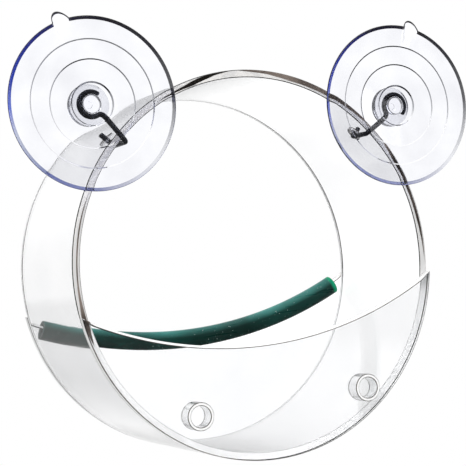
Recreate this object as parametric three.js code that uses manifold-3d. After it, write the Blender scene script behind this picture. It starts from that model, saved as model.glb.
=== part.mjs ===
// Window feeder: a clear ring with a tray in its lower part, hung from two suction cups by wire hooks.
// Millimetres, +Z up. The window pane is the plane y = 0, and +Y points out of the window.
// The origin is the point of the pane on the ring's axis.

import * as THREE from 'three';
import { mergeVertices } from 'three/addons/utils/BufferGeometryUtils.js';
import Module from 'manifold-3d';

const wasm = await Module();
wasm.setup();

// Shared clearances
const runningClearance = 0.3;
const hookPlay = 0.6;
const cutOverrun = 1;

// Ring: a length of clear tube
const ringOuterRadius = 75;
const ringWall = 3;
const ringDepth = 67;
const ringSegments = 48;
const ringInnerRadius = ringOuterRadius - ringWall;

// Panels glued on the ring's two ends, each with a hollow upper edge
const panelThickness = 3;
const panelEdgeMiddle = 30.4;
const panelEdgeEnd = 11.5;
const outerPanelRise = 1.6;
const outerPanelTurn = THREE.MathUtils.degToRad(0.75);
const panelEdgeSegments = 24;
const panelRimSegments = 48;

// Standoffs: short tubes that keep the lower part of the ring off the pane
const standoffOuterRadius = 5.3;
const standoffWall = 1.3;
const standoffLength = 7;
const standoffSpacing = 71;
const standoffDrop = 53;
const standoffSegments = 16;

// Where the ring starts and ends along Y
const ringFront = standoffLength + panelThickness;
const ringBack = ringFront + ringDepth;

// Perch: a springy slit tube pushed over the outer panel's upper edge. It seats at its ends and lifts between.
const perchRadius = 4;
const perchWall = 1.5;
const perchLift = 1.3;
const perchWallGap = 1;
const perchSteps = 28;
const perchSegments = 10;

// Hook holes through the ring's wall
const hookHoleRadius = 3;
const hookHoleInset = 12;
const hookHoleHalfAngle = THREE.MathUtils.degToRad(46.5);
const ringTurn = THREE.MathUtils.degToRad(-2.8);
const holeSegments = 24;

// Suction cups, pressed flat on the pane
const cupRadius = 32;
const cupLipWidth = 2.8;
const cupRimThickness = 0.95;
const cupSkinThickness = 1.4;
const cupHollowDepth = 1.1;
const cupStepHeight = 0.35;
const cupOuterStepRadius = 23.3;
const cupInnerStepRadius = 16;
const cupBossRadius = 7.7;
const cupBossHeight = 2.6;
const cupNeckRadius = 3.2;
const cupNeckStart = 2.8;
const cupHeadRadius = 7.6;
const cupHeadThickness = 3.1;
const cupHeadEdge = 0.8;
const cupSegments = 64;
const tabWidth = 7.5;
const tabLength = 6;
const tabRoot = 1.6;
const tabThickness = 1;
const tabSegments = 12;
const tabTilt = THREE.MathUtils.degToRad(28);
const leftTabAngle = THREE.MathUtils.degToRad(106);
const rightTabAngle = THREE.MathUtils.degToRad(71);

// Wire hooks: an eye round the cup's neck, a leg past the ring's rim, a run inside the ring, a tip
const wireRadius = 1;
const wireSides = 4;
const wireSteps = 96;
const wireBend = 2;
const leftHookReach = 19.7;
const rightHookReach = 14.7;
const hookLegStart = 1.2;
const hookTipProud = 2.8;
const eyeEndAngle = THREE.MathUtils.degToRad(92);

// Places that follow from the sizes above
const eyeRadius = cupNeckRadius + runningClearance + wireRadius;
const hookPlane = cupNeckStart + runningClearance + wireRadius;
const cupNeckLength = 2 * (runningClearance + wireRadius);
const cupHeadStart = cupNeckStart + cupNeckLength;
const runRadius = ringInnerRadius - hookPlay - wireRadius;
const leftHoleAngle = Math.PI / 2 + hookHoleHalfAngle + ringTurn;
const rightHoleAngle = Math.PI / 2 - hookHoleHalfAngle + ringTurn;

// Materials
const clearAcrylic = { color: 0xe6ecec, roughness: 0.06, metalness: 0, transparent: true, opacity: 0.35 };
const clearVinyl = { color: 0xd3d8ee, roughness: 0.18, metalness: 0, transparent: true, opacity: 0.5 };
const greenVinyl = { color: 0x0f4a3a, roughness: 0.3, metalness: 0 };
const darkWire = { color: 0x3a3b40, roughness: 0.35, metalness: 0.9 };

const feeder = new THREE.Group();

function addPiece(name, geometry, finish) {
  const mesh = new THREE.Mesh(geometry, new THREE.MeshStandardMaterial(finish));
  mesh.name = name;
  feeder.add(mesh);
  return mesh;
}

// Closed solids for cutting and joining
function toSolid(geometry) {
  const bare = geometry.clone();
  bare.deleteAttribute('normal');
  bare.deleteAttribute('uv');
  const merged = mergeVertices(bare);
  return new wasm.Manifold(new wasm.Mesh({
    numProp: 3,
    vertProperties: new Float32Array(merged.attributes.position.array),
    triVerts: new Uint32Array(merged.index.array),
  }));
}

function toGeometry(solid) {
  const mesh = solid.getMesh();
  const geometry = new THREE.BufferGeometry();
  geometry.setAttribute('position', new THREE.BufferAttribute(mesh.vertProperties, 3));
  geometry.setIndex(new THREE.BufferAttribute(mesh.triVerts, 1));
  geometry.computeVertexNormals();
  return geometry;
}

// A flat outline drawn in X and Z becomes a plate whose near face is at y = front
function plate(shape, front, thickness, curveSegments) {
  const geometry = new THREE.ExtrudeGeometry(shape, { depth: thickness, bevelEnabled: false, curveSegments });
  return geometry.rotateX(Math.PI / 2).translate(0, front + thickness, 0);
}

function annulus(outerRadius, innerRadius) {
  const shape = new THREE.Shape().absarc(0, 0, outerRadius, 0, 2 * Math.PI);
  shape.holes.push(new THREE.Path().absarc(0, 0, innerRadius, 0, 2 * Math.PI, true));
  return shape;
}

// Ring with its two hook holes
function ringGeometry() {
  let ring = toSolid(plate(annulus(ringOuterRadius, ringInnerRadius), ringFront, ringDepth, ringSegments));
  for (const angle of [leftHoleAngle, rightHoleAngle]) {
    const length = ringWall + 2 * cutOverrun;
    const middle = ringInnerRadius + ringWall / 2;
    const drill = new THREE.CylinderGeometry(hookHoleRadius, hookHoleRadius, length, holeSegments);
    drill.rotateZ(-Math.PI / 2).translate(middle, 0, 0).rotateY(-angle);
    drill.translate(0, ringFront + hookHoleInset, 0);
    ring = ring.subtract(toSolid(drill));
  }
  return toGeometry(ring);
}

function arcRadius(halfChord, sag) {
  return (halfChord ** 2 + sag ** 2) / (2 * sag);
}

// The panels' upper edge is an arc about a centre above the ring
function panelEdge(rise) {
  const endHeight = rise - panelEdgeEnd;
  const endReach = Math.sqrt(ringOuterRadius ** 2 - endHeight ** 2);
  const radius = arcRadius(endReach, panelEdgeMiddle - panelEdgeEnd);
  return { endHeight, endReach, radius, centreHeight: rise - panelEdgeMiddle + radius };
}

function panelGeometry(front, rise) {
  const edge = panelEdge(rise);
  const rimAngle = Math.atan2(edge.endHeight, edge.endReach);
  const edgeAngle = Math.atan2(edge.endHeight - edge.centreHeight, edge.endReach);
  const points = [];
  for (let i = 0; i <= panelRimSegments; i++) {
    const angle = -Math.PI - rimAngle + (Math.PI + 2 * rimAngle) * (i / panelRimSegments);
    points.push(new THREE.Vector2(Math.cos(angle), Math.sin(angle)).multiplyScalar(ringOuterRadius));
  }
  for (let i = 1; i < panelEdgeSegments; i++) {
    const angle = edgeAngle + (-Math.PI - 2 * edgeAngle) * (i / panelEdgeSegments);
    const point = new THREE.Vector2(Math.cos(angle), Math.sin(angle)).multiplyScalar(edge.radius);
    points.push(point.add(new THREE.Vector2(0, edge.centreHeight)));
  }
  return plate(new THREE.Shape(points), front, panelThickness, 1);
}

// A circular arc in space: it starts at centre + radius * from and turns towards the other unit vector
class Arc extends THREE.Curve {
  constructor(centre, radius, from, towards, sweep) {
    super();
    Object.assign(this, { centre, radius, from, towards, sweep });
  }

  getPoint(t, target = new THREE.Vector3()) {
    const angle = t * this.sweep;
    target.copy(this.centre);
    target.addScaledVector(this.from, this.radius * Math.cos(angle));
    return target.addScaledVector(this.towards, this.radius * Math.sin(angle));
  }
}

// Perch: a tube's section with a slit that straddles the panel
function perchSection(boreRadius) {
  const slitHalfWidth = panelThickness / 2 + runningClearance;
  const outerSlit = Math.asin(slitHalfWidth / perchRadius);
  const innerSlit = Math.asin(slitHalfWidth / boreRadius);
  const section = new THREE.Shape();
  section.absarc(0, 0, perchRadius, Math.PI / 2 + outerSlit, 5 * Math.PI / 2 - outerSlit);
  section.absarc(0, 0, boreRadius, 5 * Math.PI / 2 - innerSlit, Math.PI / 2 + innerSlit, true);
  return section;
}

// The perch's ends stop short of the ring's wall, where its bore sits down on the panel's edge
function perchGeometry() {
  const edge = panelEdge(outerPanelRise);
  const boreRadius = perchRadius - perchWall;
  const seat = Math.sqrt(boreRadius ** 2 - (panelThickness / 2) ** 2) - runningClearance;
  const seatRadius = edge.radius + seat;
  const lowRadius = seatRadius + perchRadius;
  const endRadius = ringInnerRadius - perchWallGap;
  const squares = lowRadius ** 2 + edge.centreHeight ** 2 - endRadius ** 2;
  const endAngle = Math.acos(squares / (2 * lowRadius * edge.centreHeight));
  const reach = seatRadius * Math.sin(endAngle);
  const sag = seatRadius * (1 - Math.cos(endAngle)) - perchLift;
  const radius = arcRadius(reach, sag);
  const halfSweep = Math.asin(reach / radius);
  const along = new THREE.Vector3(Math.cos(halfSweep), 0, -Math.sin(halfSweep));
  const outward = new THREE.Vector3(-Math.sin(halfSweep), 0, -Math.cos(halfSweep));
  const centreHeight = edge.centreHeight - seatRadius + perchLift + radius;
  const centre = new THREE.Vector3(0, ringBack + panelThickness / 2, centreHeight);
  const route = new Arc(centre, radius, outward, along, 2 * halfSweep);
  return new THREE.ExtrudeGeometry(perchSection(boreRadius), {
    extrudePath: route,
    steps: perchSteps,
    curveSegments: perchSegments,
  });
}

// Suction cup, turned about the neck's axis, which stands square on the pane
function cupGeometry(tabAngle) {
  const lipInner = cupRadius - cupLipWidth;
  const middleThickness = cupHollowDepth + cupSkinThickness;
  const filletRadius = cupNeckRadius + runningClearance;
  const headTop = cupHeadStart + cupHeadThickness;
  const tabCurve = 4 * tabLength / 3;
  const outerStepTop = cupRimThickness + cupStepHeight;
  const innerStepTop = outerStepTop + cupStepHeight;
  const outline = [
    [0, cupHollowDepth],
    [cupInnerStepRadius, cupHollowDepth - cupStepHeight],
    [lipInner, 0],
    [cupRadius - cupRimThickness / 2, 0],
    [cupRadius, cupRimThickness / 2],
    [cupRadius - cupRimThickness / 2, cupRimThickness],
    [cupOuterStepRadius + cupStepHeight, cupRimThickness + cupStepHeight / 2],
    [cupOuterStepRadius, outerStepTop],
    [cupInnerStepRadius + cupStepHeight, outerStepTop + cupStepHeight / 2],
    [cupInnerStepRadius, innerStepTop],
    [cupBossRadius + cupStepHeight, middleThickness - cupStepHeight],
    [cupBossRadius, cupBossHeight - cupStepHeight / 2],
    [filletRadius, cupBossHeight],
    [cupNeckRadius, cupNeckStart],
    [cupNeckRadius, cupHeadStart],
    [cupHeadRadius - cupHeadEdge, cupHeadStart],
    [cupHeadRadius, cupHeadStart + cupHeadEdge],
    [cupHeadRadius, headTop - cupHeadEdge],
    [cupHeadRadius - cupHeadEdge, headTop],
    [0, headTop],
  ];
  const turned = new THREE.LatheGeometry(outline.map(([r, y]) => new THREE.Vector2(r, y)), cupSegments);
  const tabShape = new THREE.Shape();
  tabShape.moveTo(0, -tabWidth / 2);
  tabShape.bezierCurveTo(tabCurve, -tabWidth / 6, tabCurve, tabWidth / 6, 0, tabWidth / 2);
  const tab = plate(tabShape, 0, tabThickness, tabSegments);
  tab.rotateZ(tabTilt).translate(cupRadius - tabRoot, 0, 0).rotateY(-tabAngle);
  return toGeometry(toSolid(turned).add(toSolid(tab)));
}

// Hook wire in its own frame: the neck's axis is Y through the origin, and +X points to the ring's axis.
// A bend rounds the corner between two straight stretches.
function addBend(path, last, corner, next) {
  const inward = corner.clone().sub(last).normalize();
  const onward = next.clone().sub(corner).normalize();
  const turn = inward.angleTo(onward);
  const setback = wireBend * Math.tan(turn / 2);
  const start = corner.clone().addScaledVector(inward, -setback);
  const end = corner.clone().addScaledVector(onward, setback);
  const side = onward.clone().addScaledVector(inward, -Math.cos(turn)).normalize();
  const centre = start.clone().addScaledVector(side, wireBend);
  path.add(new THREE.LineCurve3(last, start));
  path.add(new Arc(centre, wireBend, side.clone().negate(), inward, turn));
  return end;
}

function hookGeometry(hookReach) {
  const rimHeight = ringFront - hookPlane;
  const runHeight = rimHeight + hookHoleInset;
  const legEndHeight = rimHeight - runningClearance - wireRadius;
  const tipReach = runRadius + hookReach - ringOuterRadius - hookTipProud;
  const shoulder = eyeRadius + wireBend;
  const bendAngle = Math.asin(wireBend / shoulder);
  const neckSide = shoulder * Math.cos(bendAngle);
  const tip = new THREE.Vector3(tipReach, runHeight, 0);
  const tipCorner = new THREE.Vector3(hookReach, runHeight, 0);
  const legCorner = new THREE.Vector3(hookReach, legEndHeight, 0);
  const legStart = new THREE.Vector3(shoulder + hookLegStart, 0, 0);
  const eyeStart = new THREE.Vector3(neckSide, 0, 0);
  const path = new THREE.CurvePath();
  let end = addBend(path, tip, tipCorner, legCorner);
  end = addBend(path, end, legCorner, legStart);
  end = addBend(path, end, legStart, eyeStart);
  path.add(new THREE.LineCurve3(end, eyeStart));
  const towardsRing = new THREE.Vector3(1, 0, 0);
  const across = new THREE.Vector3(0, 0, 1);
  const bendCentre = new THREE.Vector3(neckSide, 0, -wireBend);
  path.add(new Arc(bendCentre, wireBend, across, towardsRing.clone().negate(), Math.PI / 2 - bendAngle));
  const eyeFrom = new THREE.Vector3(Math.cos(bendAngle), 0, -Math.sin(bendAngle));
  const eyeTowards = new THREE.Vector3(-Math.sin(bendAngle), 0, -Math.cos(bendAngle));
  const eyeSweep = 2 * Math.PI - eyeEndAngle - bendAngle;
  path.add(new Arc(new THREE.Vector3(), eyeRadius, eyeFrom, eyeTowards, eyeSweep));
  const section = new THREE.Shape().absarc(0, 0, wireRadius, 0, 2 * Math.PI);
  return new THREE.ExtrudeGeometry(section, { extrudePath: path, steps: wireSteps, curveSegments: wireSides });
}

// The clear ring with its panels, perch and standoffs
addPiece('feeder_ring', ringGeometry(), clearAcrylic);
addPiece('window_side_panel', panelGeometry(standoffLength, 0), clearAcrylic);
addPiece('outer_panel', panelGeometry(ringBack, outerPanelRise), clearAcrylic).rotation.y = -outerPanelTurn;
addPiece('perch_tube', perchGeometry(), greenVinyl).rotation.y = -outerPanelTurn;
for (const [name, side] of [['left_standoff', -1], ['right_standoff', 1]]) {
  const shape = annulus(standoffOuterRadius, standoffOuterRadius - standoffWall);
  const standoff = addPiece(name, plate(shape, 0, standoffLength, standoffSegments), clearAcrylic);
  standoff.position.set(side * standoffSpacing / 2, 0, -standoffDrop);
}

// A cup and its hook on each side, in line with the ring's holes
const sides = [
  { side: 'left', holeAngle: leftHoleAngle, tabAngle: leftTabAngle, hookReach: leftHookReach },
  { side: 'right', holeAngle: rightHoleAngle, tabAngle: rightTabAngle, hookReach: rightHookReach },
];
for (const { side, holeAngle, tabAngle, hookReach } of sides) {
  const neckDistance = runRadius + hookReach;
  const x = neckDistance * Math.cos(holeAngle);
  const z = neckDistance * Math.sin(holeAngle);
  addPiece(`${side}_suction_cup`, cupGeometry(tabAngle), clearVinyl).position.set(x, 0, z);
  const hook = addPiece(`${side}_hook`, hookGeometry(hookReach), darkWire);
  hook.position.set(x, hookPlane, z);
  hook.rotation.y = -holeAngle - Math.PI;
}

export default feeder;
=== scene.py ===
import math

import bmesh
import bpy
from mathutils import Matrix, Vector


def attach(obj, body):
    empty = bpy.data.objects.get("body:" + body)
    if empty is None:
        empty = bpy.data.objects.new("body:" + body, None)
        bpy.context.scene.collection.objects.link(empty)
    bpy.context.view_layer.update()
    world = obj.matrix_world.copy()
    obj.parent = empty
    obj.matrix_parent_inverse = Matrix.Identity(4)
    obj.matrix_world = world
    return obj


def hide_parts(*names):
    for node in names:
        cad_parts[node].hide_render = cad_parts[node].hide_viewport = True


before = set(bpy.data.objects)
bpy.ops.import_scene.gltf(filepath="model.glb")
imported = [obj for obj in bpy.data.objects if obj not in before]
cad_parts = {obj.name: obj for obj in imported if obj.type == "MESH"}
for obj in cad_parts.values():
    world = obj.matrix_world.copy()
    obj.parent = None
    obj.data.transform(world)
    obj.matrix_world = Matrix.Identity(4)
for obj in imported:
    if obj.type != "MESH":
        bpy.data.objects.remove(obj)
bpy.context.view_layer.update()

# Window feeder: clear ring, two panels, perch, standoffs, suction cups and wire hooks.
# Lengths are millimetres in the pieces' dictionaries and metres in those of finishes, camera and light;
# angles are degrees.
scene = bpy.context.scene
millimetre = 0.001
mergeDistance = 1e-6
fineDetail, softDetail, broadDetail = 2.0, 3.0, 4.0  # of the noise fields

cameraValues = {
    "place": (-0.23900, -0.49344, 0.00972),
    "right": (0.903458, -0.411525, -0.120045),
    "up": (0.106931, -0.054841, 0.992753),
    "lens": 112.006,
    "sensor": 36.0,
    "nearest": 0.01,
}


def addObject(name, data):
    made = bpy.data.objects.new(name, data)
    scene.collection.objects.link(made)
    return made


def placeCamera(values):
    right = Vector(values["right"]).normalized()
    up = Vector(values["up"])
    up = (up - right * up.dot(right)).normalized()
    turn = Matrix((right, up, right.cross(up))).transposed()
    data = bpy.data.cameras.new("productCamera")
    data.lens = values["lens"]
    data.sensor_width = values["sensor"]
    data.clip_start = values["nearest"]
    camera = addObject("productCamera", data)
    camera.matrix_world = Matrix.Translation(values["place"]) @ turn.to_4x4()
    scene.camera = camera


# Small node helpers
def addNode(tree, kind, inputs=None, **settings):
    made = tree.nodes.new(kind)
    for key, value in settings.items():
        setattr(made, key, value)
    for key, value in (inputs or {}).items():
        if isinstance(value, bpy.types.NodeSocket):
            tree.links.new(value, made.inputs[key])
        else:
            made.inputs[key].default_value = value
    return made


def calculate(tree, operation, *values):
    return addNode(tree, "ShaderNodeMath", dict(enumerate(values)), operation=operation).outputs[0]


def startMaterial(name):
    material = bpy.data.materials.new(name)
    material.use_nodes = True
    material.node_tree.nodes.clear()
    return material, material.node_tree


def noiseField(tree, place, scale, detail, stretch=(1.0, 1.0, 1.0)):
    mapped = addNode(tree, "ShaderNodeMapping", {"Vector": place, "Scale": stretch})
    noise = addNode(tree, "ShaderNodeTexNoise", {
        "Vector": mapped.outputs["Vector"], "Scale": scale, "Detail": detail})
    return noise.outputs["Fac"]


def spread(tree, value, low, high, fromLow=0.3, fromHigh=0.7):
    return addNode(tree, "ShaderNodeMapRange", {
        "Value": value, "From Min": fromLow, "From Max": fromHigh, "To Min": low, "To Max": high,
    }).outputs["Result"]


def blendColour(tree, factor, first, second):
    # The mix node keeps its colours in sockets 6 and 7, and its numbers in 2 and 3
    return addNode(tree, "ShaderNodeMix", {0: factor, 6: first, 7: second}, data_type="RGBA").outputs[2]


def chooseValue(tree, factor, first, second):
    return addNode(tree, "ShaderNodeMix", {0: factor, 2: first, 3: second}, data_type="FLOAT").outputs[0]


def roundRing(tree, place):
    # The turn round the ring as a share, and marks' coordinates: along the turn, out from the axis, in depth
    flat = addNode(tree, "ShaderNodeVectorMath", {0: place, 1: (1, 0, 1)}, operation="MULTIPLY")
    outward = addNode(tree, "ShaderNodeVectorMath", {0: flat.outputs["Vector"]}, operation="LENGTH")
    parts = addNode(tree, "ShaderNodeSeparateXYZ", {"Vector": place}).outputs
    angle = calculate(tree, "ARCTAN2", parts["Z"], parts["X"])
    followed = addNode(tree, "ShaderNodeCombineXYZ", {
        "X": calculate(tree, "MULTIPLY", angle, outward.outputs["Value"]),
        "Y": outward.outputs["Value"], "Z": parts["Y"]})
    return spread(tree, angle, 0.0, 1.0, -math.pi, math.pi), followed.outputs["Vector"]


def colourStops(tree, factor, stops):
    ramp = addNode(tree, "ShaderNodeValToRGB", {"Fac": factor})
    elements = ramp.color_ramp.elements
    while len(elements) < len(stops):
        elements.new(0.5)
    for element, (position, colour) in zip(elements, stops):
        element.position = position
        element.color = (*colour, 1)
    return ramp.outputs["Color"]


# Clear plastics: the volume gives the tint of long paths, the transparent branch lets the shadow through
acrylicTube = {
    "clear": (0.99, 0.99, 0.995, 1), "dull": (0.955, 0.958, 0.964, 1),
    "polished": 0.006, "hazed": 0.04, "hazeScale": 34.0,
    "streakScale": 950.0, "streakStretch": (1.0, 0.02, 1.0), "streakDepth": 0.00003, "streakStrength": 0.10,
    "ior": 1.49, "depthColour": (0.78, 0.79, 0.80, 1), "depthDensity": 6.0, "shade": (0.93, 0.935, 0.94, 1),
}
acrylicSheet = dict(acrylicTube, streakStretch=(1.0, 1.0, 1.0), streakScale=160.0, streakStrength=0.02)
vinylClear = {
    "clear": (0.90, 0.905, 0.925, 1), "dull": (0.79, 0.795, 0.825, 1),
    "polished": 0.01, "hazed": 0.06, "hazeScale": 62.0,
    "streakScale": 420.0, "streakStretch": (1.0, 1.0, 1.0), "streakDepth": 0.00004, "streakStrength": 0.10,
    "ior": 1.52, "depthColour": (0.68, 0.70, 0.90, 1), "depthDensity": 22.0,
    "shade": (0.88, 0.89, 0.95, 1),
}
# Cut edges: milky where glued, light above, with a painted dark reflection that wanders across the wall's
# thickness.
# Each of its stops is a share of the turn with the painted reflection's middle, its half width and how brown
# it is.
acrylicCut = {
    "milky": (0.97, 0.97, 0.97, 1), "light": (0.95, 0.945, 0.94, 1),
    "black": (0.006, 0.005, 0.004, 1), "brown": (0.30, 0.245, 0.215, 1),
    "paintedBrownLow": 0.35, "paintedBrownHigh": 1.1, "patchScale": 60.0, "patchFrom": 0.4, "patchTo": 0.6,
    "gluedFrom": -0.008, "gluedTo": -0.016, "gluedClear": 0.10, "lightClear": 0.35, "darkClear": 0.1,
    "reflection": [
        (0.00, (0.42, 0.14, 0.8)), (0.035, (0.50, 0.26, 0.5)), (0.05, (0.50, 0.00, 0.4)),
        (0.48, (0.83, 0.00, 0.5)), (0.52, (0.67, 0.23, 0.3)), (0.575, (0.62, 0.30, 0.1)),
        (0.60, (0.92, 0.10, 0.8)), (0.655, (0.62, 0.28, 0.3)), (0.70, (0.62, 0.36, 0.9)),
        (0.73, (0.78, 0.22, 0.8)), (0.75, (0.93, 0.09, 0.1)), (0.77, (0.80, 0.18, 0.0)),
        (0.79, (0.42, 0.33, 0.0)), (0.83, (0.35, 0.00, 0.2)), (0.91, (0.35, 0.00, 0.8)),
        (0.95, (0.40, 0.13, 0.9)), (1.00, (0.42, 0.14, 0.8)),
    ],
    "wallInside": 0.072, "wallOutside": 0.075, "softSide": 0.06, "waver": 0.12,
    "nearDepth": 0.03, "farDepth": 0.04,
    "polished": 0.04, "hazed": 0.12, "sawScale": 520.0, "sawStretch": (0.03, 1.0, 0.0),
    "sawDepth": 0.00004, "sawStrength": 0.2, "ior": 1.49,
    "depthColour": (0.90, 0.88, 0.85, 1), "depthDensity": 6.0, "shade": (0.86, 0.865, 0.87, 1),
}
# Arrises: painted dark reflection lines along the clear edges, above the glue on the ring and all along the
# panels
ringArris = dict(
    acrylicCut, milky=(0.80, 0.80, 0.80, 1), light=(0.09, 0.087, 0.084, 1), gluedClear=0.4, lightClear=0.7,
    shade=(0.6, 0.6, 0.6, 1))
panelArris = dict(ringArris, milky=(0.08, 0.078, 0.075, 1), gluedClear=0.75)


def shadowSplit(tree, surface, shade, depthColour, depthDensity):
    through = addNode(tree, "ShaderNodeBsdfTransparent", {"Color": shade})
    mixed = addNode(tree, "ShaderNodeMixShader", {
        0: addNode(tree, "ShaderNodeLightPath").outputs["Is Shadow Ray"],
        1: surface.outputs["BSDF"], 2: through.outputs["BSDF"]})
    inside = addNode(tree, "ShaderNodeVolumeAbsorption", {"Color": depthColour, "Density": depthDensity})
    addNode(tree, "ShaderNodeOutputMaterial", {
        "Surface": mixed.outputs["Shader"], "Volume": inside.outputs["Volume"]})


def clearFinish(name, values):
    material, tree = startMaterial(name)
    place = addNode(tree, "ShaderNodeTexCoord").outputs["Object"]
    haze = noiseField(tree, place, values["hazeScale"], broadDetail)
    streak = noiseField(tree, place, values["streakScale"], fineDetail, values["streakStretch"])
    bump = addNode(tree, "ShaderNodeBump", {
        "Height": streak, "Strength": values["streakStrength"], "Distance": values["streakDepth"]})
    glass = addNode(tree, "ShaderNodeBsdfPrincipled", {
        "Base Color": blendColour(tree, spread(tree, haze, 0.0, 1.0), values["clear"], values["dull"]),
        "Roughness": spread(tree, haze, values["polished"], values["hazed"]),
        "Normal": bump.outputs["Normal"], "IOR": values["ior"], "Transmission Weight": 1.0})
    shadowSplit(tree, glass, values["shade"], values["depthColour"], values["depthDensity"])
    return material


def cutFinish(name, values):
    material, tree = startMaterial(name)
    place = addNode(tree, "ShaderNodeTexCoord").outputs["Object"]
    turn, followed = roundRing(tree, place)
    saw = noiseField(tree, followed, values["sawScale"], fineDetail, values["sawStretch"])
    patch = noiseField(tree, place, values["patchScale"], softDetail)
    height = addNode(tree, "ShaderNodeSeparateXYZ", {"Vector": place}).outputs["Z"]
    glued = spread(tree, height, 0.0, 1.0, values["gluedFrom"], values["gluedTo"])
    # Painted reflection: a dark, partly brown band set by the turn round the ring, across the wall, near the
    # near rim
    stops = colourStops(tree, turn, values["reflection"])
    middle, half, brownness = addNode(tree, "ShaderNodeSeparateColor", {"Color": stops}).outputs
    parts = addNode(tree, "ShaderNodeSeparateXYZ", {"Vector": followed}).outputs
    out = spread(tree, parts["Y"], 0.0, 1.0, values["wallInside"], values["wallOutside"])
    waver = spread(tree, saw, -values["waver"], values["waver"])
    aside = calculate(tree, "SUBTRACT", calculate(tree, "ADD", out, waver), middle)
    beyond = calculate(tree, "SUBTRACT", calculate(tree, "ABSOLUTE", aside), half)
    within = spread(tree, beyond, 1.0, 0.0, -values["softSide"], 0.0)
    nearRim = spread(tree, parts["Z"], 1.0, 0.0, values["nearDepth"], values["farDepth"])
    dark = calculate(tree, "MULTIPLY", within, nearRim)
    pale = blendColour(tree, glued, values["light"], values["milky"])
    uneven = spread(tree, patch, values["paintedBrownLow"], values["paintedBrownHigh"],
                    values["patchFrom"], values["patchTo"])
    browned = calculate(tree, "MULTIPLY", brownness, uneven)
    paintedReflection = blendColour(tree, browned, values["black"], values["brown"])
    paleClear = chooseValue(tree, glued, values["lightClear"], values["gluedClear"])
    bump = addNode(tree, "ShaderNodeBump", {
        "Height": saw, "Strength": values["sawStrength"], "Distance": values["sawDepth"]})
    edge = addNode(tree, "ShaderNodeBsdfPrincipled", {
        "Base Color": blendColour(tree, dark, pale, paintedReflection),
        "Roughness": spread(tree, patch, values["polished"], values["hazed"]),
        "Normal": bump.outputs["Normal"], "IOR": values["ior"],
        "Transmission Weight": chooseValue(tree, dark, paleClear, values["darkClear"])})
    shadowSplit(tree, edge, values["shade"], values["depthColour"], values["depthDensity"])
    return material


# Painted reflections round a cup's lip, and painted light and shade on its steps; the stops run round a cup
# from its left side by its foot, right side and top back to the left
lipVinyl = {
    "stops": [
        (0.00, (0.025, 0.05, 0.48)), (0.05, (0.32, 0.36, 0.54)), (0.13, (0.10, 0.13, 0.35)),
        (0.24, (0.09, 0.11, 0.33)), (0.37, (0.75, 0.76, 0.80)), (0.50, (0.055, 0.055, 0.06)),
        (0.60, (0.006, 0.006, 0.009)), (0.70, (0.0007, 0.0004, 0.0009)), (0.80, (0.0007, 0.0007, 0.005)),
        (0.87, (0.0003, 0.0008, 0.10)), (0.95, (0.001, 0.004, 0.24)), (1.00, (0.025, 0.05, 0.48)),
    ],
    "ior": 1.52, "smooth": 0.04, "rough": 0.12, "worn": (0.004, 0.004, 0.014, 1),
    "mottle": 300.0, "wornMost": 0.12, "wornFrom": 0.45, "wornTo": 0.75,
    "depthColour": (0.40, 0.42, 0.95, 1), "depthDensity": 120.0, "shade": (0.5, 0.5, 0.75, 1),
}
# Steps: painted light on the lower half of the cup and painted shade on the upper half
stepVinyl = dict(
    lipVinyl, stops=[
        (0.0, (0.42, 0.42, 0.46)), (0.12, (0.85, 0.85, 0.88)), (0.25, (1.0, 1.0, 1.0)),
        (0.38, (1.0, 1.0, 1.0)), (0.47, (0.30, 0.31, 0.34)), (0.60, (0.045, 0.046, 0.055)),
        (0.75, (0.09, 0.092, 0.10)), (0.88, (0.16, 0.165, 0.20)), (1.0, (0.42, 0.42, 0.46)),
    ],
    worn=(0.75, 0.76, 0.80, 1), depthColour=(0.68, 0.70, 0.90, 1), depthDensity=22.0,
    shade=(0.7, 0.7, 0.75, 1))


def roundCupFinish(name, values, centre):
    material, tree = startMaterial(name)
    place = addNode(tree, "ShaderNodeTexCoord").outputs["Object"]
    x, z = centre
    moved = addNode(tree, "ShaderNodeMapping", {
        "Vector": place, "Location": (-x * millimetre, 0, -z * millimetre)})
    parts = addNode(tree, "ShaderNodeSeparateXYZ", {"Vector": moved.outputs["Vector"]}).outputs
    turned = spread(tree, calculate(tree, "ARCTAN2", parts["Z"], parts["X"]), 0.0, 1.0, -math.pi, math.pi)
    mottle = noiseField(tree, place, values["mottle"], softDetail)
    wear = spread(tree, mottle, 0.0, values["wornMost"], values["wornFrom"], values["wornTo"])
    # The stops paint reflections, light and shade by the turn round the cup's centre; the mottle blends in a
    # little of the worn colour
    paintedRoundTone = blendColour(tree, wear, colourStops(tree, turned, values["stops"]), values["worn"])
    skin = addNode(tree, "ShaderNodeBsdfPrincipled", {
        "Base Color": paintedRoundTone, "Roughness": spread(tree, mottle, values["smooth"], values["rough"]),
        "IOR": values["ior"], "Transmission Weight": 1.0})
    shadowSplit(tree, skin, values["shade"], values["depthColour"], values["depthDensity"])
    return material


# A dark tube with a painted highlight along its top, and a painted glow where its right end was cut
perchVinyl = {
    "deep": (0.0012, 0.013, 0.010, 1), "pale": (0.003, 0.030, 0.024, 1), "paintedTopSheen": (0.040, 0.20, 0.175, 1),
    "topFrom": 0.25, "topTo": 0.95, "cloudScale": 38.0, "cloudFrom": 0.35, "cloudTo": 0.65,
    "leastSheen": 0.35, "cutEndGlow": (0.001, 0.25, 0.12, 1), "endTilt": 22.9,
    "endFrom": 0.0536, "endTo": 0.0548,
    "smooth": 0.26, "rough": 0.34, "specular": 0.16, "ior": 1.52,
    "drawnScale": 700.0, "drawnStretch": (0.03, 1.0, 1.0), "drawnStrength": 0.05, "drawnDepth": 0.00003,
    "dust": (0.30, 0.36, 0.34, 1), "dustScale": 1500.0, "dustDetail": 1.0, "dustFrom": 0.735, "dustTo": 0.77,
}


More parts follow.
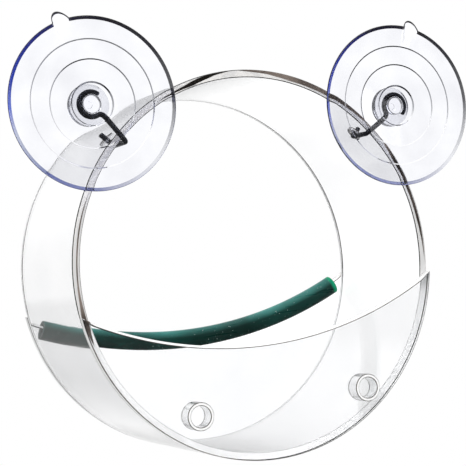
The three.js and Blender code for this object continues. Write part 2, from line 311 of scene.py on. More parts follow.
def perchFinish(name, values):
    material, tree = startMaterial(name)
    coordinates = addNode(tree, "ShaderNodeTexCoord").outputs
    place = coordinates["Object"]
    drawn = noiseField(tree, place, values["drawnScale"], fineDetail, values["drawnStretch"])
    cloud = noiseField(tree, place, values["cloudScale"], softDetail)
    body = blendColour(tree, spread(tree, cloud, 0.0, 1.0), values["deep"], values["pale"])
    # Painted highlight: faces turned upwards blend towards a pale teal sheen, broken up by the cloud noise
    facing = addNode(tree, "ShaderNodeSeparateXYZ", {"Vector": coordinates["Normal"]}).outputs["Z"]
    upper = spread(tree, facing, 0.0, 1.0, values["topFrom"], values["topTo"])
    clouded = spread(tree, cloud, values["leastSheen"], 1.0, values["cloudFrom"], values["cloudTo"])
    sheened = blendColour(tree, calculate(tree, "MULTIPLY", upper, clouded), body, values["paintedTopSheen"])
    # Painted glow: a bright green band at the cut right end, for light coming through the translucent tube
    tilt = math.radians(values["endTilt"])
    run = addNode(tree, "ShaderNodeVectorMath", {
        0: place, 1: (math.cos(tilt), 0, math.sin(tilt))}, operation="DOT_PRODUCT").outputs["Value"]
    ends = spread(tree, run, 0.0, 1.0, values["endFrom"], values["endTo"])
    specks = spread(tree, noiseField(tree, place, values["dustScale"], values["dustDetail"]), 0.0, 1.0,
                    values["dustFrom"], values["dustTo"])
    dusty = blendColour(tree, specks, sheened, values["dust"])
    bump = addNode(tree, "ShaderNodeBump", {
        "Height": drawn, "Strength": values["drawnStrength"], "Distance": values["drawnDepth"]})
    skin = addNode(tree, "ShaderNodeBsdfPrincipled", {
        "Base Color": blendColour(tree, ends, dusty, values["cutEndGlow"]),
        "Roughness": spread(tree, drawn, values["smooth"], values["rough"]),
        "Normal": bump.outputs["Normal"], "IOR": values["ior"], "Specular IOR Level": values["specular"]})
    addNode(tree, "ShaderNodeOutputMaterial", {"Surface": skin.outputs["BSDF"]})
    return material


# Dark satin wire with a slight grit
hookSteel = {
    "dark": (0.006, 0.007, 0.011, 1), "light": (0.026, 0.028, 0.040, 1),
    "smooth": 0.24, "rough": 0.44, "metal": 0.8,
    "patchScale": 420.0, "gritScale": 2600.0, "gritStrength": 0.2, "gritDepth": 0.00004,
}


def steelFinish(name, values):
    material, tree = startMaterial(name)
    place = addNode(tree, "ShaderNodeTexCoord").outputs["Object"]
    patch = noiseField(tree, place, values["patchScale"], broadDetail)
    grit = noiseField(tree, place, values["gritScale"], fineDetail)
    bump = addNode(tree, "ShaderNodeBump", {
        "Height": grit, "Strength": values["gritStrength"], "Distance": values["gritDepth"]})
    metal = addNode(tree, "ShaderNodeBsdfPrincipled", {
        "Base Color": blendColour(tree, spread(tree, patch, 0.0, 1.0), values["dark"], values["light"]),
        "Roughness": spread(tree, patch, values["smooth"], values["rough"]),
        "Normal": bump.outputs["Normal"], "Metallic": values["metal"]})
    addNode(tree, "ShaderNodeOutputMaterial", {"Surface": metal.outputs["BSDF"]})
    return material


# Mesh helpers; a face's kind picks its finish: 0 a wall, 1 a cut face or lip, 2 an arris or step
def addMesh(name, points, faces, kinds, sharp):
    mesh = bpy.data.meshes.new(name)
    mesh.from_pydata([Vector(point) * millimetre for point in points], [], faces)
    for polygon, kind in zip(mesh.polygons, kinds):
        polygon.material_index = kind
    return finishMesh(name, mesh, sharp)


def finishMesh(name, mesh, sharp):
    shape = bmesh.new()
    shape.from_mesh(mesh)
    bmesh.ops.remove_doubles(shape, verts=shape.verts, dist=mergeDistance)
    bmesh.ops.recalc_face_normals(shape, faces=shape.faces)
    for face in shape.faces:
        face.smooth = True
    shape.to_mesh(mesh)
    shape.free()
    mesh.set_sharp_from_angle(angle=math.radians(sharp))
    return addObject(name, mesh)


def joinFrame(piece, finishes, body, node):
    for finish in finishes:
        piece.data.materials.append(finish)
    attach(piece, body)
    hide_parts(node)


def roundedCorners(corners, steps):
    # Each corner is (across, along, radius); a radius of zero keeps it sharp
    outline = []
    for index, (across, along, radius) in enumerate(corners):
        here = Vector((across, along))
        if radius == 0 or index in (0, len(corners) - 1):
            outline.append(here)
            continue
        before = (Vector(corners[index - 1][:2]) - here).normalized()
        after = (Vector(corners[index + 1][:2]) - here).normalized()
        half = before.angle(after) / 2
        reach = radius / math.tan(half)
        centre = here + (before + after).normalized() * (radius / math.sin(half))
        start, end = here + before * reach - centre, here + after * reach - centre
        swing = start.angle_signed(end)
        for step in range(steps + 1):
            turned = start.copy()
            turned.rotate(Matrix.Rotation(-swing * step / steps, 2))
            outline.append(centre + turned)
    return outline


def turnedShell(profile, columns, closed, shift=None):
    # Turns a (radius, height) profile about the Y axis
    points, faces = [], []
    rows, turns = len(profile), len(columns)
    for radius, height in profile:
        for angle in columns:
            spot = shift(radius, height, angle) if shift else (radius, height)
            points.append((spot[0] * math.cos(angle), spot[1], spot[0] * math.sin(angle)))
    for row in range(rows if closed else rows - 1):
        following = (row + 1) % rows
        for turn in range(turns):
            beside = (turn + 1) % turns
            faces.append((row * turns + turn, row * turns + beside,
                          following * turns + beside, following * turns + turn))
    return points, faces


def evenTurn(count):
    return [2 * math.pi * step / count for step in range(count)]


# Ring: a cut length of tube with two drilled holes
ringValues = {
    "outerRadius": 75.0, "innerRadius": 72.0, "front": 10.0, "back": 77.0,
    "nearChamfer": 0.3, "farChamfer": 0.5, "sharpFrom": 24.0,
    "columnStep": 1.25, "holeRadius": 3.0, "holeInset": 12.0, "holeChamfer": 0.25,
    "holeAngles": (40.7, 133.7), "patchHalf": 4.8, "patchCells": 12, "patchLoops": 3,
}


def ringColumns(values):
    half = values["patchHalf"] / values["outerRadius"]
    cells = values["patchCells"]
    centres = [math.radians(angle) for angle in values["holeAngles"]]
    columns, patches = [], []
    for index, centre in enumerate(centres):
        patches.append((len(columns), centre))
        columns += [centre - half + 2 * half * cell / cells for cell in range(cells + 1)]
        following = centres[index + 1] if index + 1 < len(centres) else centres[0] + 2 * math.pi
        gap = following - centre - 2 * half
        steps = round(gap / math.radians(values["columnStep"]))
        columns += [centre + half + gap * step / steps for step in range(1, steps)]
    return columns, patches


def patchBorder(cells):
    # Cell corners round a square, as (column, row) steps
    border = [(step, 0) for step in range(cells)]
    border += [(cells, step) for step in range(cells)]
    border += [(cells - step, cells) for step in range(cells)]
    return border + [(0, cells - step) for step in range(cells)]


def buildRing(values):
    columns, patches = ringColumns(values)
    cells = values["patchCells"]
    holeHeight = values["front"] + values["holeInset"]
    half = values["patchHalf"]
    rows = [values["front"] + values["nearChamfer"]]
    rows += [holeHeight - half + 2 * half * cell / cells for cell in range(cells + 1)]
    rows += [values["back"] - values["farChamfer"]]
    points, faces, kinds = [], [], []

    def put(angle, height, radius):
        points.append((radius * math.cos(angle), height, radius * math.sin(angle)))
        return len(points) - 1

    def bridge(first, second, kind):
        for turn in range(len(first)):
            beside = (turn + 1) % len(first)
            faces.append((first[turn], first[beside], second[beside], second[turn]))
            kinds.append(kind)

    inPatch = {(start + column, 1 + row) for start, centre in patches
               for column in range(cells) for row in range(cells)}
    border = patchBorder(cells)
    rims, holes = [], [[] for patch in patches]
    for radius, inward in ((values["outerRadius"], -1), (values["innerRadius"], 1)):
        grid = [[put(angle, height, radius) for angle in columns] for height in rows]
        for row in range(len(rows) - 1):
            for column in range(len(columns)):
                if (column, row) not in inPatch:
                    beside = (column + 1) % len(columns)
                    faces.append((grid[row][column], grid[row][beside],
                                  grid[row + 1][beside], grid[row + 1][column]))
                    kinds.append(0)
        rims.append((grid, radius, inward))
        for edges, (start, centre) in zip(holes, patches):
            last = [grid[1 + row][start + column] for column, row in border]
            for loop in range(1, values["patchLoops"] + 1):
                share = loop / values["patchLoops"]
                ring = []
                for column, row in border:
                    turn = math.atan2(2 * row / cells - 1, 2 * column / cells - 1)
                    edge = values["holeRadius"] + values["holeChamfer"]
                    swing = math.asin(edge * math.cos(turn) / radius)
                    squareAngle = columns[start + column] - centre
                    angle = centre + squareAngle * (1 - share) + swing * share
                    squareHeight = rows[1 + row] - holeHeight
                    height = squareHeight * (1 - share) + edge * math.sin(turn) * share
                    ring.append(put(angle, holeHeight + height, radius))
                bridge(last, ring, 0)
                last = ring
            wall = []
            for column, row in border:
                turn = math.atan2(2 * row / cells - 1, 2 * column / cells - 1)
                side = values["holeRadius"] * math.cos(turn)
                depth = math.sqrt(radius ** 2 - side ** 2) + inward * values["holeChamfer"]
                wall.append(put(centre + math.atan2(side, depth),
                                holeHeight + values["holeRadius"] * math.sin(turn), math.hypot(side, depth)))
            bridge(last, wall, 2)
            edges.append(wall)
    for outerWall, innerWall in holes:
        bridge(outerWall, innerWall, 1)
    for end, height, chamfer in ((0, values["front"], values["nearChamfer"]),
                                 (-1, values["back"], values["farChamfer"])):
        lips = []
        for grid, radius, inward in rims:
            lip = [put(angle, height, radius + inward * chamfer) for angle in columns]
            bridge(grid[end], lip, 2)
            lips.append(lip)
        bridge(lips[0], lips[1], 1)
    return addMesh("clearRing", points, faces, kinds, values["sharpFrom"])


# Panels: a round rim that is glued, and a hollow upper edge
panelValues = {
    "radius": 75.0, "edgeMiddle": 30.4, "edgeEnd": 11.5, "thickness": 3.0, "steps": 180,
    "rimChamfer": 0.3, "edgeRound": 1.15, "roundSteps": 6, "roundFadesIn": 6.0, "leastTurn": 0.2,
    "sharpFrom": 6.0,
    "windowSide": {"near": 7.0, "far": 9.96, "rise": 0.0, "turn": 0.0},
    "outer": {"near": 77.04, "far": 80.0, "rise": 1.6, "turn": 0.75},
}


def upperEdge(values, rise):
    endHeight = rise - values["edgeEnd"]
    endReach = math.sqrt(values["radius"] ** 2 - endHeight ** 2)
    sag = values["edgeMiddle"] - values["edgeEnd"]
    radius = (endReach ** 2 + sag ** 2) / (2 * sag)
    return {"endHeight": endHeight, "endReach": endReach, "radius": radius,
            "centreHeight": rise - values["edgeMiddle"] + radius}


def panelOutline(values, rise):
    edge, steps = upperEdge(values, rise), values["steps"]
    rimAngle = math.atan2(edge["endHeight"], edge["endReach"])
    edgeAngle = math.atan2(edge["endHeight"] - edge["centreHeight"], edge["endReach"])
    rim, upper = [], []
    for step in range(steps + 1):
        along = step / steps
        angle = -math.pi - rimAngle + (math.pi + 2 * rimAngle) * along
        rim.append(Vector((math.cos(angle), math.sin(angle))) * values["radius"])
        angle = -math.pi - edgeAngle + (math.pi + 2 * edgeAngle) * along
        upper.append(Vector((math.cos(angle), math.sin(angle))) * edge["radius"]
                     + Vector((0, edge["centreHeight"])))
    return rim + upper[-2:0:-1]


def insetPoint(outline, index, distance, leastTurn):
    here = outline[index]
    before = (here - outline[index - 1]).normalized()
    after = (outline[(index + 1) % len(outline)] - here).normalized()
    square = Vector((-before.y, before.x))
    inward = (square + Vector((-after.y, after.x))).normalized()
    return here + inward * (distance / max(leastTurn, inward.dot(square)))


def panelRounding(values, outline):
    # The glued rim has a small chamfer, the upper edge is rounded and fades in from the corners
    rounding = []
    for index, spot in enumerate(outline):
        share = 0.0
        if index > values["steps"]:
            corner = min((spot - outline[0]).length, (spot - outline[values["steps"]]).length)
            share = min(1.0, corner / values["roundFadesIn"])
        share = share * share * (3 - 2 * share)
        rounding.append(values["rimChamfer"] + (values["edgeRound"] - values["rimChamfer"]) * share)
    return rounding


def buildPanel(name, values, side):
    outline = panelOutline(values, side["rise"])
    rounding = panelRounding(values, outline)
    turn = math.radians(side["turn"])
    count, steps = len(outline), values["steps"]
    turns = [math.pi / 2 * step / values["roundSteps"] for step in range(values["roundSteps"] + 1)]
    levels = [(angle, side["near"], 1) for angle in turns]
    levels += [(angle, side["far"], -1) for angle in reversed(turns)]
    points, faces, kinds = [], [], []
    for angle, face, inward in levels:
        for index, radius in enumerate(rounding):
            across, height = insetPoint(outline, index, radius * (1 - math.sin(angle)), values["leastTurn"])
            depth = face + inward * radius * (1 - math.cos(angle))
            points.append((across * math.cos(turn) - height * math.sin(turn), depth,
                           across * math.sin(turn) + height * math.cos(turn)))
    for level in range(len(levels) - 1):
        outermost = level in (0, len(levels) - 2)
        for index in range(count):
            beside = (index + 1) % count
            faces.append((level * count + index, level * count + beside,
                          (level + 1) * count + beside, (level + 1) * count + index))
            onRim = index < steps and level != values["roundSteps"]
            kinds.append(2 if outermost or onRim else 1)
    for base in (0, (len(levels) - 1) * count):
        for step in range(steps):
            upperHere, upperNext = (count - step) % count, count - step - 1
            loop = (base + step, base + step + 1, base + upperNext, base + upperHere)
            if step == 0:
                loop = (base, base + 1, base + count - 1)
            elif step == steps - 1:
                loop = (base + step, base + step + 1, base + count - step)
            faces.append(loop)
            kinds.append(0)
    return addMesh(name, points, faces, kinds, values["sharpFrom"])


# Standoffs: short tubes between the lower part and the pane
standoffValues = {
    "outerRadius": 5.3, "innerRadius": 4.0, "length": 6.96, "chamfer": 0.25,
    "side": 35.5, "drop": 53.0, "segments": 96, "sharpFrom": 24.0,
    "rowKinds": (2, 1, 2, 0, 2, 1, 2, 0),
}


def buildStandoff(name, values, side):
    outer, inner = values["outerRadius"], values["innerRadius"]
    length, chamfer = values["length"], values["chamfer"]
    profile = [(inner, chamfer), (inner + chamfer, 0), (outer - chamfer, 0), (outer, chamfer),
               (outer, length - chamfer), (outer - chamfer, length), (inner + chamfer, length),
               (inner, length - chamfer)]
    points, faces = turnedShell(profile, evenTurn(values["segments"]), True)
    kinds = [values["rowKinds"][index // values["segments"]] for index in range(len(faces))]
    moved = [(x + side * values["side"], y, z - values["drop"]) for x, y, z in points]
    return addMesh(name, moved, faces, kinds, values["sharpFrom"])


# Suction cups: turned round their own axes, with a pull tab drawn out of the lip.
# Outline corners are (radius, height, rounding).
cupValues = {
    "radius": 32.0, "rim": 0.95, "hollow": 1.1, "hollowRadius": 29.2, "hollowSteps": 22,
    "segments": 200, "roundSteps": 5, "sharpFrom": 50.0,
    "lipInset": 0.12, "lipRound": 0.42, "lipHeight": 0.985,
    "skinSteps": [
        (23.75, 1.125, 0.12), (23.35, 1.30, 0.2), (16.45, 1.475, 0.12), (16.05, 1.65, 0.2),
        (8.15, 2.12, 0.2), (7.7, 2.48, 0.3)],
    "neckAndHead": [
        (3.6, 2.6, 0.3), (3.2, 3.0, 0.4), (3.2, 5.4, 0.25), (7.6, 5.4, 0.85), (7.6, 8.5, 0.85),
        (1.3, 8.5, 0.1), (1.15, 8.38, 0.1), (0.0, 8.38, 0)],
    "tabWidth": 6.6, "tabReach": 4.15, "tabLean": 0.58, "tabAcross": 0.88, "tabTaper": 0.85,
    "tabRoot": 29.9, "tabTop": 1.2, "tabColumns": 22,
    "lipBand": 30.6, "lipWall": 31.5, "lipFrom": 0.05, "skinTop": 3.0,
    "markRows": ((23.2, 23.9), (15.9, 16.6), (7.6, 8.3)),
    "left": {"centre": (-62.2485, 65.1393), "tabAngle": 106.0},
    "right": {"centre": (64.5172, 55.4936), "tabAngle": 71.0},
}


def cupProfile(values):
    radius, count = values["radius"], values["hollowSteps"]
    under = [(values["hollowRadius"] * step / count, values["hollow"] * (1 - (step / count) ** 2), 0)
             for step in range(count + 1)]
    lip = [(radius - values["lipInset"], 0.0, values["lipRound"]),
           (radius, values["rim"], values["lipRound"]), (values["lipBand"], values["lipHeight"], 0)]
    return roundedCorners(under + lip + values["skinSteps"] + values["neckAndHead"], values["roundSteps"])


def buildCup(name, values, side):
    tabAngle = math.radians(side["tabAngle"])
    half = values["tabWidth"] / 2 / values["radius"]
    count = values["tabColumns"]
    rest = round((2 * math.pi - 2 * half) / (2 * math.pi / values["segments"]))
    columns = [tabAngle - half + 2 * half * step / count for step in range(count)]
    columns += [tabAngle + half + (2 * math.pi - 2 * half) * step / rest for step in range(rest)]

    def pullTab(radius, height, angle):
        off = abs((angle - tabAngle + math.pi) % (2 * math.pi) - math.pi) / half
        if off >= 1 or radius < values["tabRoot"] or height > values["tabTop"]:
            return radius, height
        share = (radius - values["tabRoot"]) / (values["radius"] - values["tabRoot"])
        reach = values["tabReach"] * (1 - off ** 2) ** values["tabTaper"] * share
        return radius + reach * values["tabAcross"], height + reach * values["tabLean"]

    profile = cupProfile(values)
    points, faces = turnedShell(profile, columns, False, pullTab)
    kinds = []
    for row, (here, following) in enumerate(zip(profile, profile[1:])):
        radius, height = (here[0] + following[0]) / 2, (here[1] + following[1]) / 2
        backSide = following[0] < here[0] and height < values["skinTop"]
        marked = backSide and any(low < radius < high for low, high in values["markRows"])
        for column in range(len(columns)):
            band = values["lipWall"] if column < count else values["lipBand"]
            kinds.append(1 if radius > band and height > values["lipFrom"] else 2 if marked else 0)
    x, z = side["centre"]
    placed = [(px + x, py, pz + z) for px, py, pz in points]
    return addMesh(name, placed, faces, kinds, values["sharpFrom"])


# Swept pieces, made with Geometry Nodes; their lengths are set on the modifier
def pathCurve(name, points, cyclic=False):
    data = bpy.data.curves.new(name, "CURVE")
    data.dimensions = "3D"
    spline = data.splines.new("POLY")
    spline.points.add(len(points) - 1)
    for knot, point in zip(spline.points, points):
        knot.co = (*[value * millimetre for value in point], 1)
    spline.use_cyclic_u = cyclic
    return addObject(name, data)


def startTree(name, inputs):
    tree = bpy.data.node_groups.new(name, "GeometryNodeTree")
    tree.interface.new_socket("Geometry", in_out="INPUT", socket_type="NodeSocketGeometry")
    for label, kind, value in inputs:
        socket = tree.interface.new_socket(label, in_out="INPUT", socket_type=kind)
        if value is not None:
            socket.default_value = value
    tree.interface.new_socket("Geometry", in_out="OUTPUT", socket_type="NodeSocketGeometry")
    return tree, addNode(tree, "NodeGroupInput").outputs


def endTree(tree, geometry, finish):
    whole = addNode(tree, "GeometryNodeRealizeInstances", {"Geometry": geometry})
    dressed = addNode(tree, "GeometryNodeSetMaterial", {"Geometry": whole.outputs[0], "Material": finish})
    addNode(tree, "NodeGroupOutput", {"Geometry": dressed.outputs[0]})


def runTree(name, base, tree, settings, sharp):
    modifier = base.modifiers.new(name, "NODES")
    modifier.node_group = tree
    for item in tree.interface.items_tree:
        if item.in_out == "INPUT" and item.name in settings:
            modifier[item.identifier] = settings[item.name]
    graph = bpy.context.evaluated_depsgraph_get()
    mesh = bpy.data.meshes.new_from_object(base.evaluated_get(graph))
    mesh.name = name
    bpy.data.objects.remove(base)
    return finishMesh(name, mesh, sharp)


def wireTree(values, finish):
    # A round wire along the path, its two cut ends dressed with a small chamfer
    tree, inputs = startTree("wireAlongPath", [
        ("Wire Radius", "NodeSocketFloat", 0.001), ("Sides", "NodeSocketInt", 24),
        ("End Chamfer", "NodeSocketFloat", 0.0003), ("Path Length", "NodeSocketFloat", 0.1)])
    upright = addNode(tree, "GeometryNodeSetCurveNormal", {"Curve": inputs["Geometry"]}, mode="MINIMUM_TWIST")
    along = addNode(tree, "GeometryNodeSplineParameter").outputs["Length"]
    nearest = calculate(tree, "MINIMUM", along, calculate(tree, "SUBTRACT", inputs["Path Length"], along))
    share = spread(tree, nearest, values["endShare"], 1.0, 0.0, inputs["End Chamfer"])
    circle = addNode(tree, "GeometryNodeCurvePrimitiveCircle", {
        "Resolution": inputs["Sides"], "Radius": inputs["Wire Radius"]})
    swept = addNode(tree, "GeometryNodeCurveToMesh", {
        "Curve": upright.outputs[0], "Profile Curve": circle.outputs["Curve"],
        "Scale": share, "Fill Caps": True})
    endTree(tree, swept.outputs["Mesh"], finish)
    return tree


hookValues = {
    "wireRadius": 1.0, "sides": 28, "bend": 2.0, "plane": 4.1, "eyeRadius": 4.5,
    "legStart": 1.2, "legEnd": 4.6, "runEnd": 17.9, "tipShort": 7.4, "eyeGap": 92.0,
    "endChamfer": 0.3, "endShare": 0.72, "bendSteps": 12, "shoulderSteps": 10, "eyeSteps": 40,
    "sharpFrom": 60.0,
    "left": {"centre": (-62.2485, 65.1393), "holeAngle": 133.7, "reach": 19.7},
    "right": {"centre": (64.5172, 55.4936), "holeAngle": 40.7, "reach": 14.7},
}


def arcPoints(centre, radius, fromAxis, towardsAxis, sweep, steps):
    return [centre + (fromAxis * math.cos(sweep * step / steps)
                      + towardsAxis * math.sin(sweep * step / steps)) * radius
            for step in range(steps + 1)]


def bentCorner(last, corner, following, radius, steps):
    inward, onward = (corner - last).normalized(), (following - corner).normalized()
    turn = inward.angle(onward)
    setback = radius * math.tan(turn / 2)
    side = (onward - inward * math.cos(turn)).normalized()
    centre = corner - inward * setback + side * radius
    return arcPoints(centre, radius, -side, inward, turn, steps)


def hookPath(values, reach):
    bend = values["bend"]
    shoulder = values["eyeRadius"] + bend
    bendAngle = math.asin(bend / shoulder)
    neckSide = shoulder * math.cos(bendAngle)
    tip = Vector((reach - values["tipShort"], values["runEnd"], 0))
    tipCorner = Vector((reach, values["runEnd"], 0))
    legCorner = Vector((reach, values["legEnd"], 0))
    legStart = Vector((shoulder + values["legStart"], 0, 0))
    eyeStart = Vector((neckSide, 0, 0))
    first = tip + (tipCorner - tip).normalized() * values["endChamfer"]
    path = [tip, first]
    for corner, following in ((tipCorner, legCorner), (legCorner, legStart), (legStart, eyeStart)):
        path += bentCorner(path[-1], corner, following, bend, values["bendSteps"])
    path.append(eyeStart)
    across, towardsRing = Vector((0, 0, 1)), Vector((1, 0, 0))
    path += arcPoints(Vector((neckSide, 0, -bend)), bend, across, -towardsRing,
                      math.pi / 2 - bendAngle, values["shoulderSteps"])[1:]
    eyeFrom = Vector((math.cos(bendAngle), 0, -math.sin(bendAngle)))
    eyeTowards = Vector((-math.sin(bendAngle), 0, -math.cos(bendAngle)))
    sweep = 2 * math.pi - math.radians(values["eyeGap"]) - bendAngle
    path += arcPoints(Vector(), values["eyeRadius"], eyeFrom, eyeTowards, sweep, values["eyeSteps"])[1:]
    lastStep = path[-1] - path[-2]
    path.insert(-1, path[-1] - lastStep.normalized() * values["endChamfer"])
    return path


def buildHook(name, values, side, tree):
    x, z = side["centre"]
    turn = math.radians(side["holeAngle"])
    placed = [Vector((x - point.x * math.cos(turn) + point.z * math.sin(turn), values["plane"] + point.y,
                      z - point.x * math.sin(turn) - point.z * math.cos(turn)))
              for point in hookPath(values, side["reach"])]
    length = sum((after - before).length for before, after in zip(placed, placed[1:]))
    return runTree(name, pathCurve(name + "Path", placed), tree, {
        "Wire Radius": values["wireRadius"] * millimetre, "Sides": values["sides"],
        "End Chamfer": values["endChamfer"] * millimetre, "Path Length": length * millimetre},
        values["sharpFrom"])


perchValues = {
    "radius": 4.0, "bore": 2.5, "slitHalf": 1.8, "lift": 1.3, "wallGap": 1.0, "play": 0.3,
    "ringInner": 72.0, "middle": 78.5, "steps": 140, "sectionSteps": 44, "sharpFrom": 30.0,
}


def perchPath(values, panel):
    side = panel["outer"]
    edge = upperEdge(panel, side["rise"])
    seat = math.sqrt(values["bore"] ** 2 - (panel["thickness"] / 2) ** 2) - values["play"]
    seatRadius = edge["radius"] + seat
    lowRadius = seatRadius + values["radius"]
    endRadius = values["ringInner"] - values["wallGap"]
    squares = lowRadius ** 2 + edge["centreHeight"] ** 2 - endRadius ** 2
    endAngle = math.acos(squares / (2 * lowRadius * edge["centreHeight"]))
    reach = seatRadius * math.sin(endAngle)
    sag = seatRadius * (1 - math.cos(endAngle)) - values["lift"]
    radius = (reach ** 2 + sag ** 2) / (2 * sag)
    halfSweep = math.asin(reach / radius)
    centreHeight = edge["centreHeight"] - seatRadius + values["lift"] + radius
    turn = math.radians(side["turn"])
    path = []
    for step in range(values["steps"] + 1):
        angle = -halfSweep + 2 * halfSweep * step / values["steps"]
        x, z = radius * math.sin(angle), centreHeight - radius * math.cos(angle)
        path.append((x * math.cos(turn) - z * math.sin(turn), values["middle"],
                     x * math.sin(turn) + z * math.cos(turn)))
    return path


def perchSection(values):
    # A tube's section, open towards +Y where the slit straddles the panel
    section = []
    for radius, ends in ((values["radius"], 1), (values["bore"], -1)):
        slit = math.asin(values["slitHalf"] / radius)
        start, sweep = math.pi / 2 + slit, 2 * math.pi - 2 * slit
        turns = [start + sweep * step / values["sectionSteps"] for step in range(values["sectionSteps"] + 1)]
        for angle in (turns if ends > 0 else reversed(turns)):
            section.append((radius * math.cos(angle), radius * math.sin(angle), 0))
    return section


def perchTree(finish):
    tree, inputs = startTree("slitTubeAlongEdge", [
        ("Section", "NodeSocketObject", None), ("Scale", "NodeSocketFloat", 1.0)])
    upright = addNode(tree, "GeometryNodeSetCurveNormal", {"Curve": inputs["Geometry"]}, mode="Z_UP")
    section = addNode(tree, "GeometryNodeObjectInfo", {"Object": inputs["Section"]})
    swept = addNode(tree, "GeometryNodeCurveToMesh", {
        "Curve": upright.outputs[0], "Profile Curve": section.outputs["Geometry"],
        "Scale": inputs["Scale"], "Fill Caps": True})
    endTree(tree, swept.outputs["Mesh"], finish)
    return tree


def buildPerch(values, panel, finish):
    section = pathCurve("perchSection", perchSection(values), True)
    made = runTree("perchTube", pathCurve("perchPath", perchPath(values, panel)), perchTree(finish),
                   {"Section": section, "Scale": 1.0}, values["sharpFrom"])
    bpy.data.objects.remove(section)
    return made


# Stage and light: white behind the clear walls, and a shaped studio in what they mirror
stageValues = {
    "floorHeight": -0.30, "floorRadius": 8.0, "floorSegments": 96, "floorColour": (0.82, 0.82, 0.82, 1),
    "lift": 0.30, "fadeStart": 0.5, "fadeEnd": 1.1,
    "skyLight": 0.62, "seenThrough": 1.23,
    "flagTowards": (0.384, -0.921, -0.064), "flagFrom": 0.86, "flagTo": 0.95, "flagged": 0.12,
    "mirroredFrom": -0.5, "mirroredTo": 0.5,
    "mirrored": [
        (0.0, 0.42), (0.18, 0.42), (0.30, 0.85), (0.60, 0.95), (0.84, 0.95), (0.92, 0.75), (1.0, 0.6),
    ],
    "overhead": 0.85, "overheadFrom": 0.5, "overheadTo": 0.9,
    "underneath": 0.2, "underFrom": -0.8, "underTo": -0.45,
    "tableTop": 0.4, "tableFrom": -0.085, "tableTo": -0.045, "tableLeft": -0.1, "tableRight": 0.15,
}
lampTarget = (0, 0.04, 0.01)
lampValues = [
    {"name": "keySoftbox", "place": (-0.9, -1.1, 1.1), "size": 1.0, "power": 14.0},
    {"name": "fillSoftbox", "place": (1.2, -0.8, 0.5), "size": 1.2, "power": 7.0},
    {"name": "topSoftbox", "place": (0.2, 0.25, 1.6), "size": 1.0, "power": 8.0},
]


def afterMirror(tree, lightPath):
    # One where the path has been reflected at least once
    return calculate(tree, "GREATER_THAN", lightPath["Glossy Depth"], 0.5)


def buildStage(values):
    mesh = bpy.data.meshes.new("paleFloor")
    shape = bmesh.new()
    bmesh.ops.create_circle(shape, cap_ends=True, segments=values["floorSegments"],
                          radius=values["floorRadius"])
    for vertex in shape.verts:
        vertex.co.z = values["floorHeight"]
    shape.to_mesh(mesh)
    shape.free()
    floor = addObject("paleFloor", mesh)
    material, tree = startMaterial("paleFloorPaint")
    place = addNode(tree, "ShaderNodeTexCoord").outputs["Object"]
    lightPath = addNode(tree, "ShaderNodeLightPath").outputs
    seen = calculate(tree, "MAXIMUM", lightPath["Is Camera Ray"], lightPath["Is Transmission Ray"])
    flat = addNode(tree, "ShaderNodeVectorMath", {0: place, 1: (1, 1, 0)}, operation="MULTIPLY")
    away = addNode(tree, "ShaderNodeVectorMath", {0: flat.outputs["Vector"]}, operation="LENGTH")
    far = spread(tree, away.outputs["Value"], 0.0, 1.0, values["fadeStart"], values["fadeEnd"])
    paint = addNode(tree, "ShaderNodeBsdfDiffuse", {"Color": values["floorColour"]})
    behindClear = chooseValue(tree, lightPath["Is Transmission Ray"], 1.0, values["seenThrough"])
    white = addNode(tree, "ShaderNodeEmission", {"Color": (1, 1, 1, 1), "Strength": behindClear})
    lift = addNode(tree, "ShaderNodeEmission", {"Color": (1, 1, 1, 1), "Strength": values["lift"]})
    nearFloor = addNode(tree, "ShaderNodeAddShader", {0: paint.outputs[0], 1: lift.outputs[0]})
    shown = addNode(tree, "ShaderNodeMixShader", {0: far, 1: nearFloor.outputs[0], 2: white.outputs[0]})
    whole = addNode(tree, "ShaderNodeMixShader", {
        0: seen, 1: paint.outputs[0], 2: shown.outputs[0]})
    # Reflections look past the floor to the sky, so that no horizon line shows in the clear walls
    past = addNode(tree, "ShaderNodeBsdfTransparent")
    ground = addNode(tree, "ShaderNodeMixShader", {
        0: afterMirror(tree, lightPath), 1: whole.outputs[0], 2: past.outputs[0]})
    addNode(tree, "ShaderNodeOutputMaterial", {"Surface": ground.outputs[0]})
    floor.data.materials.append(material)


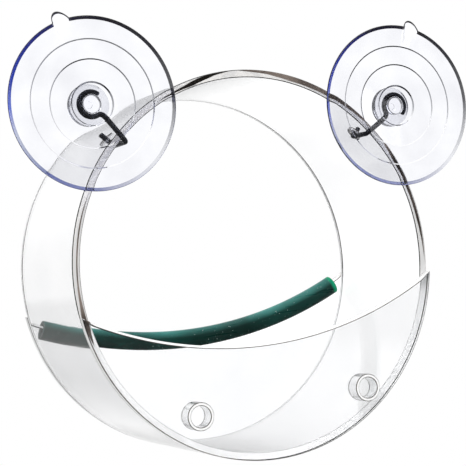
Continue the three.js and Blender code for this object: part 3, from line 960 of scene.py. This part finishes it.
def buildSky(values):
    world = bpy.data.worlds.new("studioSky")
    world.use_nodes = True
    tree = world.node_tree
    tree.nodes.clear()
    lightPath = addNode(tree, "ShaderNodeLightPath").outputs
    towards = addNode(tree, "ShaderNodeTexCoord").outputs["Generated"]
    axes = addNode(tree, "ShaderNodeSeparateXYZ", {"Vector": towards}).outputs
    # Mirrored: grey by its side, light overhead, dark below, a band at the left and a card by the camera
    aside = spread(tree, axes["X"], 0.0, 1.0, values["mirroredFrom"], values["mirroredTo"])
    level = colourStops(tree, aside, [(share, (grey,) * 3) for share, grey in values["mirrored"]])
    overhead = spread(tree, axes["Z"], 0.0, values["overhead"], values["overheadFrom"], values["overheadTo"])
    raised = calculate(tree, "MAXIMUM", level, overhead)
    under = spread(tree, axes["Z"], values["underneath"], 1.0, values["underFrom"], values["underTo"])
    above = spread(tree, axes["Z"], 0.0, 1.0, values["tableFrom"], values["tableTo"])
    leftSide = spread(tree, axes["X"], values["tableTop"], 1.0, values["tableLeft"], values["tableRight"])
    beyond = chooseValue(tree, above, leftSide, 1.0)
    lowered = calculate(tree, "MULTIPLY", under, beyond)
    facing = addNode(tree, "ShaderNodeVectorMath", {0: towards, 1: values["flagTowards"]},
                     operation="DOT_PRODUCT").outputs["Value"]
    flagged = spread(tree, facing, 1.0, values["flagged"], values["flagFrom"], values["flagTo"])
    boxes = calculate(tree, "MULTIPLY", calculate(tree, "MULTIPLY", raised, lowered), flagged)
    clearPath = calculate(tree, "MAXIMUM", lightPath["Is Glossy Ray"], lightPath["Is Transmission Ray"])
    bent = chooseValue(tree, afterMirror(tree, lightPath), values["seenThrough"], boxes)
    unseen = chooseValue(tree, clearPath, values["skyLight"], bent)
    strength = chooseValue(tree, lightPath["Is Camera Ray"], unseen, 1.0)
    sky = addNode(tree, "ShaderNodeBackground", {"Color": (1, 1, 1, 1), "Strength": strength})
    addNode(tree, "ShaderNodeOutputWorld", {"Surface": sky.outputs[0]})
    scene.world = world


def buildLamps(lamps):
    for lamp in lamps:
        data = bpy.data.lights.new(lamp["name"], "AREA")
        data.shape = "DISK"
        data.size = lamp["size"]
        data.energy = lamp["power"]
        made = addObject(lamp["name"], data)
        place = Vector(lamp["place"])
        made.location = place
        made.rotation_mode = "QUATERNION"
        made.rotation_quaternion = (Vector(lampTarget) - place).to_track_quat("-Z", "Y")
        made.visible_glossy = False


placeCamera(cameraValues)
print("camera placed")

tubeFinish = clearFinish("tubeAcrylic", acrylicTube)
sheetFinish = clearFinish("sheetAcrylic", acrylicSheet)
cutFace = cutFinish("cutAcrylic", acrylicCut)
ringEdges = [cutFace, cutFinish("ringArris", ringArris)]
panelEdges = [cutFace, cutFinish("panelArris", panelArris)]
vinylFinish = clearFinish("clearVinyl", vinylClear)
greenFinish = perchFinish("greenVinyl", perchVinyl)
wireFinish = steelFinish("hookSteel", hookSteel)
print("finishes ready")

ring = buildRing(ringValues)
joinFrame(ring, [tubeFinish, *ringEdges], "feeder", "feeder_ring")
print("ring built")

windowPanel = buildPanel("windowSidePanel", panelValues, panelValues["windowSide"])
joinFrame(windowPanel, [sheetFinish, *panelEdges], "feeder", "window_side_panel")
outerPanel = buildPanel("outerPanel", panelValues, panelValues["outer"])
joinFrame(outerPanel, [sheetFinish, *panelEdges], "feeder", "outer_panel")
print("panels built")

for sideName, sign in (("left", -1), ("right", 1)):
    standoff = buildStandoff(sideName + "Standoff", standoffValues, sign)
    joinFrame(standoff, [tubeFinish, *panelEdges], "feeder", sideName + "_standoff")
print("standoffs built")

perch = buildPerch(perchValues, panelValues, greenFinish)
joinFrame(perch, [], "feeder", "perch_tube")
print("perch built")

hookTree = wireTree(hookValues, wireFinish)
for sideName in ("left", "right"):
    cup = buildCup(sideName + "SuctionCup", cupValues, cupValues[sideName])
    lipFinish = roundCupFinish(sideName + "CupLip", lipVinyl, cupValues[sideName]["centre"])
    stepFinish = roundCupFinish(sideName + "CupSteps", stepVinyl, cupValues[sideName]["centre"])
    joinFrame(cup, [vinylFinish, lipFinish, stepFinish], "window_cups",
              sideName + "_suction_cup")
    hook = buildHook(sideName + "Hook", hookValues, hookValues[sideName], hookTree)
    joinFrame(hook, [], sideName + "_hook", sideName + "_hook")
print("cups and hooks built")

buildStage(stageValues)
buildSky(stageValues)
buildLamps(lampValues)
scene.view_settings.view_transform = "Standard"
print("stage and light ready")
